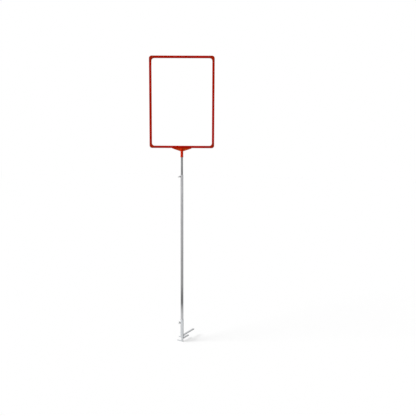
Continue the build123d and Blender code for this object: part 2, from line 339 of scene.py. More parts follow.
@dataclass(frozen=True)
class ExtrudedPlastic:
    """Red rail plastic with the fine lines of the die along its length."""

    run: Run
    colour: Colour = (188, 22, 2)
    tones: Pair = (0.95, 1.04)
    rough: Pair = (0.36, 0.46)
    line_width: float = 0.7 * MM
    line_length: float = 260 * MM
    line_depth: float = 0.012 * MM
    cloud: float = 90 * MM
    specular: float = 0.07
    scuffs: Flecks = Flecks((9 * MM, 0.8 * MM, 9 * MM), (0.66, 0.78), 0.12, 0.15)
    scuff_colour: Colour = (190, 60, 36)

    def material(self) -> bpy.types.Material:
        """Makes the rail's plastic, its lines turned with the sign.

        Returns:
            The material.
        """
        name = f"extruded_plastic_{self.run.value}"
        shader = Shader(name, Specular_IOR_Level=self.specular, Specular_Tint=RED_SHEEN)
        across, along = self.line_width, self.line_length
        size = (across, across, along) if self.run is Run.UPRIGHT else (along, across, across)
        lines = shader.noise(shader.where(size, SIGN_TURN), detail=3)
        clouds = shader.noise(shader.where((self.cloud,) * 3))
        colour = shader.mottled(clouds, self.colour, self.tones)
        rough = shader.spread(lines, *self.rough)
        colour, rough = self.scuffs.over(shader, colour, rough, self.scuff_colour, SIGN_TURN)
        return shader.finish(colour, rough, shader.relief(lines, self.line_depth))


@dataclass(frozen=True)
class MouldedPlastic:
    """Red moulded plastic with an eroded grain, paler on its worn edges."""

    name: str
    colour: Colour
    tones: Pair = (0.94, 1.05)
    rough: Pair = (0.46, 0.58)
    edge_colour: Colour = (196, 84, 52)
    edge_share: float = 0.35
    edge_stretch: Pair = (0.53, 0.62)
    grain: float = 0.55 * MM
    grain_depth: float = 0.02 * MM
    cloud: float = 24 * MM
    specular: float = 0.08

    def body_colour(self, shader: Shader) -> Socket:
        """The plastic's colour with its slow flow clouds."""
        clouds = shader.noise(shader.where((self.cloud,) * 3))
        return shader.mottled(clouds, self.colour, self.tones)

    def material(self) -> bpy.types.Material:
        """Makes the plastic of a moulded piece.

        Returns:
            The material.
        """
        shader = Shader(self.name, Specular_IOR_Level=self.specular, Specular_Tint=RED_SHEEN)
        grain = shader.noise(shader.where((self.grain,) * 3), detail=1)
        edge = shader.scaled(shader.worn_edge(*self.edge_stretch), self.edge_share)
        colour = shader.blend(edge, self.body_colour(shader), self.edge_colour)
        rough = shader.spread(grain, *self.rough)
        return shader.finish(colour, rough, shader.relief(grain, self.grain_depth))


@dataclass(frozen=True)
class TeeMoulding(MouldedPlastic):
    """The tee holder's plastic, with painted light that makes the web paler than the ribs."""

    web_painted_light_colour: Colour = (216, 84, 26)
    web_half: float = 2.2 * MM
    web_fade: float = 0.3 * MM

    def body_colour(self, shader: Shader) -> Socket:
        """Tells the web from the ribs by its distance from the sign's plane.

        Args:
            shader: The holder's shader.

        Returns:
            The colour socket, with painted light on the web, which makes it paler than the ribs.
        """
        parts = shader.add("SeparateXYZ", {0: shader.where(turn=SIGN_TURN)})
        away = shader.math("ABSOLUTE", parts.outputs["Y"])
        # Painted light: the web, of the same plastic as the ribs, is painted paler
        web = shader.level(away, self.web_half, self.web_half - self.web_fade)
        return shader.blend(web, super().body_colour(shader), self.web_painted_light_colour)


@dataclass(frozen=True)
class DrawnTube:
    """Drawn and zinc plated tube: fine draw lines, a weld seam, and marks of use.

    A pattern's size round the pole is an angle, a distance from the axis and a height. A tube with a
    reflection height has painted reflections in its colour: darkest there, and paler again below it.
    """

    name: str
    colour: Colour
    tones: Pair = (0.93, 1.05)
    rough: float = 0.34
    smoother: float = 0.05
    rougher: float = 0.07
    line_size: Triple = (0.045, 1, 160 * MM)
    line_depth: float = 0.006 * MM
    cloud_size: Triple = (14 * MM, 14 * MM, 42 * MM)
    spots: Flecks = Flecks((2.6 * MM,) * 3)
    spot_tone: float = 0.86
    seam_angle: float = math.radians(118)
    seam_half: float = math.radians(5)
    seam_core: float = 0.3
    seam_share: float = 0.4
    seam_tone: float = 0.82
    seam_depth: float = 0.05 * MM
    slide_marks: float = 0.0
    mark_size: Triple = (0.05, 1, 70 * MM)
    mark_stretch: Pair = (0.6, 0.7)
    mark_tone: float = 1.3
    mark_polish: float = 0.1
    # Painted reflections down the tube: a fade, a dark band, and a paler end below the band
    reflection_height: float | None = None
    reflection_reach: float = 110 * MM
    reflection_core: float = 0.1
    reflection_dark_tone: float = 0.64
    reflection_fade_length: float = 760 * MM
    reflection_fade_share: float = 0.8
    reflection_fade_tone: float = 0.78
    reflection_bright_start: float = 0.25
    reflection_bright_tone: float = 1.03

    def material(self) -> bpy.types.Material:
        """Makes the tube's plating, wrapped round the pole's axis.

        Returns:
            The material.
        """
        shader = Shader(self.name, Metallic=1.0)
        lines = shader.noise(shader.round_pole(self.line_size), detail=3)
        clouds = shader.noise(shader.where(self.cloud_size), detail=3)
        parts = shader.add("SeparateXYZ", {0: shader.where()})
        angle = shader.math("ARCTAN2", parts.outputs["Y"], parts.outputs["X"])
        off_seam = shader.math("ABSOLUTE", shader.math("SUBTRACT", angle, self.seam_angle))
        seam = shader.level(off_seam, self.seam_half, self.seam_core * self.seam_half)
        colour = shader.mottled(clouds, self.colour, self.tones)
        seam_colour = toned(self.colour, self.seam_tone)
        colour = shader.blend(shader.scaled(seam, self.seam_share), colour, seam_colour)
        rough = shader.spread(lines, self.rough - self.smoother, self.rough + self.rougher)
        colour, rough = self.spots.over(shader, colour, rough, toned(self.colour, self.spot_tone))
        # Painted reflection: the tube darkens downwards to a dark band and is paler below it
        if self.reflection_height is not None:
            colour = self.paint_reflections(shader, colour, parts.outputs["Z"])
        normal = shader.relief(lines, self.line_depth)
        normal = shader.relief(seam, self.seam_depth, normal)
        if self.slide_marks > 0:
            marks = shader.noise(shader.round_pole(self.mark_size), detail=4, rough=0.65)
            marks = shader.level(marks, *self.mark_stretch, 0.0, self.slide_marks)
            colour = shader.blend(marks, colour, toned(self.colour, self.mark_tone))
            rough = shader.math("SUBTRACT", rough, shader.scaled(marks, self.mark_polish))
        return shader.finish(colour, rough, normal)

    def paint_reflections(self, shader: Shader, colour: Socket, height: Socket) -> Socket:
        """Paints reflections into the plating's colour: darker down the tube to a dark band, and
        paler below it.

        Args:
            shader: The tube's shader.
            colour: The plating's colour.
            height: Height on the pole.

        Returns:
            The colour with painted reflections, fading down the tube, darkest at the reflection
            height and paler again below it.
        """
        reach = self.reflection_reach
        above = shader.math("SUBTRACT", height, self.reflection_height)
        # Painted reflection of darker surroundings, growing down the tube
        painted_fade = shader.scaled(shader.level(above, reach + self.reflection_fade_length, reach), self.reflection_fade_share)
        colour = shader.blend(painted_fade, colour, toned(self.colour, self.reflection_fade_tone))
        # Painted reflection: the dark band, darkest at the reflection height
        painted_band = shader.level(shader.math("ABSOLUTE", above), reach, self.reflection_core * reach)
        colour = shader.blend(painted_band, colour, toned(self.colour, self.reflection_dark_tone))
        # Painted reflection of the pale floor: the tube is paler below the band
        painted_brightening = shader.level(above, -self.reflection_bright_start * reach, -reach)
        return shader.blend(painted_brightening, colour, toned(self.colour, self.reflection_bright_tone))


@dataclass(frozen=True)
class ZincPlate:
    """Zinc plated or bare steel of bars, nuts, castings and beads, rubbed on its outer edges."""

    name: str
    colour: Colour = (214, 217, 222)
    tint: Colour = (200, 202, 201)
    rough: float = 0.38
    smoother: float = 0.06
    rougher: float = 0.08
    mottle: float = 5 * MM
    edge_colour: Colour = (214, 214, 214)
    edge_share: float = 0.5
    edge_stretch: Pair = (0.52, 0.6)
    grain: float = 0.35 * MM
    grain_depth: float = 0.012 * MM
    rubs: Flecks = Flecks((7 * MM, 7 * MM, 1.2 * MM))
    rub_tone: float = 0.84

    def material(self) -> bpy.types.Material:
        """Makes the plated or bare surface.

        Returns:
            The material.
        """
        shader = Shader(self.name, Metallic=1.0)
        mottle = shader.noise(shader.where((self.mottle,) * 3), detail=4, rough=0.6)
        grain = shader.noise(shader.where((self.grain,) * 3))
        colour = shader.blend(shader.spread(mottle, half=NARROW), self.colour, self.tint)
        rough = shader.spread(mottle, self.rough - self.smoother, self.rough + self.rougher)
        colour, rough = self.rubs.over(shader, colour, rough, toned(self.colour, self.rub_tone))
        edge = shader.scaled(shader.worn_edge(*self.edge_stretch), self.edge_share)
        colour = shader.blend(edge, colour, self.edge_colour)
        return shader.finish(colour, rough, shader.relief(grain, self.grain_depth))


@dataclass(frozen=True)
class HiddenPlastic:
    """Plain moulded plastic of bushes, guides and pads, scuffed where it slides."""

    name: str
    colour: Colour
    tones: Pair = (0.92, 1.06)
    rough: float = 0.5
    smoother: float = 0.06
    rougher: float = 0.08
    soft: float = 0.0
    specular: float = 0.4
    grain: float = 0.4 * MM
    grain_depth: float = 0.015 * MM
    wear_size: Triple = (0.3, 1, 1.5 * MM)

    def material(self) -> bpy.types.Material:
        """Makes the plastic, with fine rings of wear along the pole.

        Returns:
            The material.
        """
        shader = Shader(
            self.name, Specular_IOR_Level=self.specular, Subsurface_Weight=self.soft,
            Subsurface_Scale=MM,
        )
        grain = shader.noise(shader.where((self.grain,) * 3), detail=1)
        wear = shader.noise(shader.round_pole(self.wear_size), detail=3)
        colour = shader.mottled(wear, self.colour, self.tones, NARROW)
        rough = shader.spread(wear, self.rough - self.smoother, self.rough + self.rougher)
        return shader.finish(colour, rough, shader.relief(grain, self.grain_depth))


class Workpiece:
    """A mesh on the bench: begun from a primitive or a copy, shaped, put in place and fitted."""

    def __init__(self, name: str) -> None:
        """Takes the object that an operator has just made, and names it.

        Args:
            name: The piece's name.
        """
        self.obj = bpy.context.active_object
        self.obj.name = name
        self.obj.data.name = name

    @classmethod
    def copy_of(cls, node: str, name: str) -> "Workpiece":
        """A merged copy of a CAD node's mesh.

        Args:
            node: The CAD node.
            name: The new piece's name.

        Returns:
            The copy, riding on nothing yet.
        """
        bpy.ops.object.select_all(action="DESELECT")
        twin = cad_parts[node].copy()
        twin.data = twin.data.copy()
        for key in list(twin.keys()):
            del twin[key]
        twin.parent = None
        bpy.context.scene.collection.objects.link(twin)
        bpy.context.view_layer.objects.active = twin
        piece = cls(name)
        twin.data.materials.clear()
        with piece.editing():
            bpy.ops.mesh.customdata_custom_splitnormals_clear()
            bpy.ops.mesh.remove_doubles(threshold=MERGE_DISTANCE)
            bpy.ops.mesh.dissolve_limited(angle_limit=FLAT_ANGLE)
        return piece

    @classmethod
    def speck(cls, name: str) -> "Workpiece":
        """Adds a tiny square, which is drawn out into a line.

        Args:
            name: The piece's name.

        Returns:
            The square.
        """
        bpy.ops.object.select_all(action="DESELECT")
        bpy.ops.mesh.primitive_plane_add(size=MM)
        return cls(name)

    @classmethod
    def turned(cls, name: str, outline: Outline, steps: int = 96) -> "Workpiece":
        """Turns a closed outline about the Z axis, as on a lathe.

        Args:
            name: The piece's name.
            outline: Points of radius and height, with the first not repeated.
            steps: How many faces go round.

        Returns:
            The turned piece.
        """
        piece = cls.speck(name)
        with piece.editing("VERT"):
            piece.draw(outline + outline[:1])
            bpy.ops.mesh.select_all(action="SELECT")
            bpy.ops.mesh.remove_doubles(threshold=MERGE_DISTANCE)
            bpy.ops.mesh.spin(steps=steps, angle=FULL_TURN, center=(0, 0, 0), axis=(0, 0, 1))
        return piece.closed()

    def pick(self) -> None:
        """Selects this piece alone and makes it the active one."""
        bpy.ops.object.select_all(action="DESELECT")
        self.obj.select_set(True)
        bpy.context.view_layer.objects.active = self.obj

    @contextmanager
    def editing(self, mode: str = "FACE") -> Iterator[None]:
        """Opens edit mode on this piece alone, with all of it selected.

        Args:
            mode: What is selected: VERT, EDGE or FACE.

        Yields:
            Nothing, while edit mode is open.
        """
        self.pick()
        bpy.ops.object.mode_set(mode="EDIT")
        bpy.ops.mesh.select_mode(type=mode)
        bpy.ops.mesh.select_all(action="SELECT")
        yield
        bpy.ops.object.mode_set(mode="OBJECT")

    def draw(self, points: Outline) -> None:
        """Draws a square out into a line of edges on the plane of X and Z, in edit mode.

        Args:
            points: The line's points of radius and height.
        """
        bpy.ops.mesh.merge(type="CENTER")
        bpy.ops.transform.translate(value=(points[0][0], 0, points[0][1]))
        for (radius, height), (wide, high) in zip(points, points[1:]):
            move = {"value": (wide - radius, 0, high - height)}
            bpy.ops.mesh.extrude_vertices_move(TRANSFORM_OT_translate=move)

    def closed(self) -> "Workpiece":
        """Merges doubles and turns every face outwards.

        Returns:
            This piece.
        """
        with self.editing():
            bpy.ops.mesh.remove_doubles(threshold=MERGE_DISTANCE)
            bpy.ops.mesh.normals_make_consistent(inside=False)
        return self

    def cleaned(self, distance: float) -> "Workpiece":
        """Takes out edges and faces that are too short or thin.

        Args:
            distance: How short or thin they are.

        Returns:
            This piece.
        """
        with self.editing():
            bpy.ops.mesh.remove_doubles(threshold=distance)
            bpy.ops.mesh.dissolve_degenerate(threshold=distance)
        return self

    def modify(self, kind: str, **settings: object) -> "Workpiece":
        """Adds a modifier, sets it and applies it.

        Args:
            kind: The modifier's type.
            settings: Its properties.

        Returns:
            This piece.
        """
        self.pick()
        modifier = self.obj.modifiers.new(kind.lower(), kind)
        for name, value in settings.items():
            setattr(modifier, name, value)
        bpy.ops.object.modifier_apply(modifier=modifier.name)
        return self

    def soften(
        self, width: float, segments: int = 2, angle: float = math.radians(40)
    ) -> "Workpiece":
        """Rounds the sharp edges.

        Args:
            width: How far from the edge the round begins.
            segments: How many faces go round it.
            angle: The angle from which an edge counts as sharp.

        Returns:
            This piece.
        """
        return self.modify(
            "BEVEL", width=width, segments=segments, limit_method="ANGLE", angle_limit=angle
        )

    def combine(self, tool: "Workpiece", operation: str) -> "Workpiece":
        """Cuts or crosses this piece with a tool, which is used up.

        Args:
            tool: The piece that cuts.
            operation: DIFFERENCE or INTERSECT.

        Returns:
            This piece.
        """
        self.modify("BOOLEAN", object=tool.obj, operation=operation, solver="EXACT")
        bpy.data.objects.remove(tool.obj)
        return self

    def join(self, *others: "Workpiece") -> "Workpiece":
        """Takes other pieces into this one.

        Args:
            others: The pieces, which are used up.

        Returns:
            This piece.
        """
        self.pick()
        for piece in others:
            piece.obj.select_set(True)
        bpy.ops.object.join()
        return self

    def place(self, matrix: Matrix) -> "Workpiece":
        """Puts the piece in its place, which goes into its mesh.

        Args:
            matrix: The place and turn.

        Returns:
            This piece.
        """
        self.pick()
        self.obj.matrix_world = matrix
        bpy.ops.object.transform_apply(location=True, rotation=True, scale=True)
        return self

    def fit(
        self, body: Body, slot: str, material: bpy.types.Material, *nodes: str
    ) -> "Workpiece":
        """Finishes the piece and fits it to a body.

        Args:
            body: The body that carries it.
            slot: The record's material slot; not used.
            material: Its finish.
            nodes: The CAD nodes that it stands for.

        Returns:
            The fitted piece.
        """
        self.pick()
        bpy.ops.object.shade_smooth_by_angle(angle=SMOOTH_ANGLE)
        self.obj.data.materials.clear()
        self.obj.data.materials.append(material)
        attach(self.obj, body.value)
        if nodes:
            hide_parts(*nodes)
        LOG.info("%s: %d faces on %s", self.obj.name, len(self.obj.data.polygons), body.value)
        return self


def dress(node: str, material: bpy.types.Material) -> None:
    """Gives a CAD node that stays its finish.

    Args:
        node: The CAD node.
        material: Its finish.
    """
    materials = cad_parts[node].data.materials
    for index in range(len(materials)):
        materials[index] = material
    LOG.info("%s: CAD node with %s", node, material.name)


def weld_bead(name: str, route: list[Vector], radius: float, closed: bool = False) -> Workpiece:
    """Lays a rippled bead of weld metal along a route.

    Args:
        name: The bead's name.
        route: Points a fraction of a ripple apart.
        radius: The bead's mean radius.
        closed: Whether it comes back to its start.

    Returns:
        The bead as a mesh.
    """
    ripple_length = 1.1 * MM
    ripple_share = 0.13
    end_share = 0.45
    bpy.ops.object.select_all(action="DESELECT")
    bpy.ops.curve.primitive_nurbs_path_add()
    curve = bpy.context.active_object.data
    curve.splines.clear()
    spline = curve.splines.new("POLY")
    spline.points.add(len(route) - 1)
    travelled, last = 0.0, route[0]
    for point, place in zip(spline.points, route):
        travelled += (place - last).length
        last = place
        point.co = (*place, 1)
        point.radius = 1 - ripple_share * abs(math.sin(math.pi * travelled / ripple_length))
    if not closed:
        spline.points[0].radius = spline.points[-1].radius = end_share
    spline.use_cyclic_u = closed
    curve.dimensions = "3D"
    curve.bevel_depth = radius
    curve.bevel_resolution = 3
    curve.use_fill_caps = not closed
    bpy.ops.object.convert(target="MESH")
    return Workpiece(name).closed()


def straight(start: Triple, end: Triple, step: float = 0.3 * MM) -> list[Vector]:
    """Lays points on a straight line, from end to end.

    Args:
        start: The first point.
        end: The last point.
        step: The most that two points may be apart.

    Returns:
        The points.
    """
    first, last = Vector(start), Vector(end)
    count = math.ceil((last - first).length / step)
    return [first.lerp(last, index / count) for index in range(count + 1)]


def screw_drill(nut: str) -> Workpiece:
    """Makes the drill for the hole in which a clamp's screw runs.

    Args:
        nut: The CAD node of the nut over the hole.

    Returns:
        The drill, which starts a little off the pole's axis and leaves the far wall whole.
    """
    low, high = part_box(nut)
    axis, reach = pole_axis(), high.x - low.x + high.y - low.y
    place = (axis.x - reach / 2 - DRILL_START, axis.y, (low.z + high.z) / 2)
    bpy.ops.object.select_all(action="DESELECT")
    bpy.ops.mesh.primitive_cylinder_add(
        vertices=SCREW_HOLE_SIDES, radius=SCREW_HOLE_RADIUS, depth=reach,
        rotation=(0, QUARTER_TURN, 0), location=place,
    )
    drill = Workpiece("drill")
    return drill.place(drill.obj.matrix_world.copy())


def tube_outline(outer: float, inner: float, low: float, high: float, rim: float) -> Outline:
    """Half section of a tube whose rims are broken by a small round.

    Args:
        outer: The outer radius.
        inner: The bore's radius.
        low: The lower end's height.
        high: The upper end's height.
        rim: How far the rim's edges are broken.

    Returns:
        The closed outline, with a row of points near each rim that keeps the wall's shading flat.
    """
    half = rim * (1 - math.cos(math.pi / 4))
    row = 3 * rim
    section: Outline = []
    for end, inwards in ((low, 1), (high, -1)):
        corner = [
            (inner, end + row * inwards),
            (inner, end + rim * inwards),
            (inner + half, end + half * inwards),
            (inner + rim, end),
            (outer - rim, end),
            (outer - half, end + half * inwards),
            (outer, end + rim * inwards),
            (outer, end + row * inwards),
        ]
        section += corner if inwards > 0 else corner[::-1]
    return section


def drawn_tube(node: str, wall: float, rim: float, nut: str | None = None) -> Workpiece:
    """Turns a tube in the place of its CAD node, and drills it where a clamp's screw runs.

    Args:
        node: The tube's CAD node.
        wall: How thick its wall is.
        rim: How far its rims' edges are broken.
        nut: The CAD node of the nut over the hole, for a tube that has one.

    Returns:
        The tube.
    """
    low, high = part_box(node)
    outer = (high.x - low.x) / 2
    outline = tube_outline(outer, outer - wall, low.z, high.z, rim)
    tube = Workpiece.turned(f"{node}_drawn", outline).place(Matrix.Translation(pole_axis()))
    return tube.combine(screw_drill(nut), "DIFFERENCE") if nut else tube


@dataclass
class Studio:
    """The camera at the photograph's angle, the pale floor and the soft lights."""

    camera_place: Vector = field(default_factory=lambda: Vector((1.7667, -2.6507, 1.2603)))
    camera_turn: float = math.radians(30.549)
    camera_tilt: float = math.radians(-6.077)
    camera_roll: float = math.radians(0.310)
    lens: float = 39.484
    sensor: float = 36.0
    key_from: Vector = field(default_factory=lambda: Vector((-2.5, -3.0, 3.6)))
    key_spread: float = math.radians(25)
    key_share: float = 0.5
    sky: float = 0.5
    shade_side: Vector = field(default_factory=lambda: Vector((0.31, 0.95, 0.0)))
    shade_depth: float = 0.65
    shade_half: float = math.radians(25)
    shade_reach: float = math.radians(50)
    floor_size: float = 60.0
    floor_colour: float = 0.5

    def build(self, lowest: float) -> None:
        """Sets everything up.

        Args:
            lowest: The height of the object's lowest point.
        """
        self.camera()
        self.key_light()
        self.world()
        self.floor(lowest)
        bpy.context.scene.view_settings.view_transform = "Standard"

    def camera(self) -> None:
        """Adds the camera and makes it the scene's."""
        bpy.ops.object.camera_add()
        camera = bpy.context.active_object
        camera.data.sensor_width = self.sensor
        camera.data.lens = self.lens
        camera.matrix_world = (
            Matrix.Translation(self.camera_place)
            @ Matrix.Rotation(self.camera_turn, 4, "Z")
            @ Matrix.Rotation(QUARTER_TURN + self.camera_tilt, 4, "X")
            @ Matrix.Rotation(self.camera_roll, 4, "Z")
        )
        bpy.context.scene.camera = camera

    def key_light(self) -> None:
        """Adds the soft light from the upper left, which gives its share of a level white's light."""
        bpy.ops.object.light_add(type="SUN", location=self.key_from)
        light = bpy.context.active_object
        towards = self.key_from.normalized()
        light.data.energy = self.key_share * math.pi / towards.z
        light.data.angle = self.key_spread
        light.rotation_mode = "QUATERNION"
        light.rotation_quaternion = (-towards).to_track_quat("-Z", "Y")

    def world(self) -> None:
        """Lights the object evenly, and shows white to the camera and in reflections.

        Beside the object lies a soft grey shade, seen in reflections only, that gives metal its form.
        """
        world = bpy.data.worlds.new("studio")
        world.use_nodes = True
        shader = Shader.of_tree(world.node_tree)
        seen, light = self.seen(shader, shader.add("TexCoord").outputs["Generated"])
        strength = shader.math("MULTIPLY", shader.level(seen, 0.0, 1.0, self.sky, 1.0), light)
        background = world.node_tree.nodes["Background"]
        background.inputs["Color"].default_value = WHITE
        world.node_tree.links.new(strength, background.inputs["Strength"])
        bpy.context.scene.world = world

    def seen(self, shader: Shader, place: Socket) -> tuple[Socket, Socket]:
        """What the camera and reflections see of the surroundings.

        Args:
            shader: The floor's or the world's node tree.
            place: Vector towards the spot that a ray meets.

        Returns:
            A socket that is 1 where the surroundings are seen and don't light the object, and a
            socket for how light they look there, which is under 1 in the shade that glossy
            surfaces find on one side.
        """
        rays = shader.add("LightPath").outputs
        mirrored = shader.math("MAXIMUM", rays["Is Glossy Ray"], rays["Is Transmission Ray"])
        level = shader.add("VectorMath", {0: place, 1: (1, 1, 0)}, operation="MULTIPLY").outputs[0]
        towards = shader.add("VectorMath", {0: level}, operation="NORMALIZE").outputs[0]
        sockets = {0: towards, 1: self.shade_side.normalized()}
        facing = shader.add("VectorMath", sockets, operation="DOT_PRODUCT").outputs["Value"]
        rim, core = math.cos(self.shade_reach), math.cos(self.shade_half)
        depth = shader.level(facing, rim, core, 0.0, self.shade_depth)
        shade = shader.math("MULTIPLY", rays["Is Glossy Ray"], depth)
        seen = shader.math("MAXIMUM", rays["Is Camera Ray"], mirrored)
        return seen, shader.math("SUBTRACT", 1.0, shade)

    def floor(self, height: float) -> None:
        """Adds the floor, white to the camera where no shadow falls.

        Args:
            height: The floor's height.
        """
        bpy.ops.object.select_all(action="DESELECT")
        bpy.ops.mesh.primitive_plane_add(size=self.floor_size, location=(0, 0, height))
        floor = bpy.context.active_object
        floor.name = "floor"
        shader = Shader("floor_white", Roughness=1.0, Specular_IOR_Level=0.0, Emission_Color=WHITE)
        seen, light = self.seen(shader, shader.where())
        glow = shader.scaled(seen, 1 - self.floor_colour * (self.sky + self.key_share))
        glow = shader.math("MULTIPLY", glow, light)
        grey = shader.scaled(light, self.floor_colour)
        for name, value in (("Base Color", grey), ("Emission Strength", glow)):
            shader.tree.links.new(value, shader.surface.inputs[name])
        floor.data.materials.append(shader.material)


@dataclass
class SignFrame:
    """The red poster frame: extruded rails between moulded corners."""

    edge: float = 0.35 * MM

    def build(self) -> None:
        """Dresses the rails and fits the corners."""
        self.rails()
        self.corners()

    def rails(self) -> None:
        """Gives the four rails their plastic."""
        for run, sides in ((Run.UPRIGHT, ("left", "right")), (Run.LEVEL, ("top", "bottom"))):
            material = ExtrudedPlastic(run).material()
            for side in sides:
                dress(f"frame_{side}_rail", material)

    def corners(self) -> None:
        """Fits the four corners, with their edges rounded as moulded."""
        material = MouldedPlastic("corner_plastic", (178, 38, 10)).material()
        for level in ("top", "bottom"):
            for side in ("left", "right"):
                node = f"frame_corner_{level}_{side}"
                piece = Workpiece.copy_of(node, f"{node}_moulding").soften(self.edge)
                piece.fit(Body.SIGN, "frame_corner", material, node)


@dataclass
class TeeHolder:
    """The moulded holder between the frame and the upper tube."""

    edge: float = 0.3 * MM
    grain: float = 0.7 * MM

    def build(self) -> None:
        """Fits the holder with rounded edges."""
        material = TeeMoulding("tee_plastic", (208, 42, 3), grain=self.grain).material()
        piece = Workpiece.copy_of("tee_holder", "tee_holder_moulding").soften(self.edge)
        piece.fit(Body.SIGN, "tee_moulding", material, "tee_holder")


@dataclass
class UpperPole:
    """The upper tube of the telescope with the guide in its lower end."""

    wall: float = 1.0 * MM
    rim: float = 0.2 * MM
    slide_marks: float = 0.5
    seam_angle: float = math.radians(60)

    def build(self) -> None:
        """Turns the tube, and dresses the guide."""
        finish = DrawnTube(
            "upper_tube_zinc", (141, 141, 142), slide_marks=self.slide_marks,
            seam_angle=self.seam_angle,
        )
        tube = drawn_tube("upper_tube", self.wall, self.rim)
        tube.fit(Body.UPPER_POLE, "upper_tube_steel", finish.material(), "upper_tube")
        dress("upper_tube_guide", HiddenPlastic("guide_polyethylene", (38, 38, 40)).material())


@dataclass
class LowerPole:
    """The lower tube with its mouth bush and plug."""

    wall: float = 1.2 * MM
    rim: float = 0.25 * MM
    bush_edge: float = 0.4 * MM
    rough: float = 0.36
    # Height of the darkest painted reflection on the lower tube
    reflection_height: float = 268 * MM

    def build(self) -> None:
        """Turns the tube, and dresses what is in it."""
        tube = drawn_tube("lower_tube", self.wall, self.rim, "clamp_nut")
        finish = DrawnTube(
            "lower_tube_zinc", (184, 184, 186), rough=self.rough, reflection_height=self.reflection_height
        )
        tube.fit(Body.LOWER_POLE, "lower_tube_steel", finish.material(), "lower_tube")
        bush = Workpiece.copy_of("mouth_bush", "mouth_bush_moulding").soften(self.bush_edge)
        plastic = HiddenPlastic("bush_plastic", (206, 207, 209))
        bush.fit(Body.LOWER_POLE, "bush_plastic", plastic.material(), "mouth_bush")
        dress("lower_tube_plug", HiddenPlastic("plug_polyethylene", (40, 40, 42)).material())


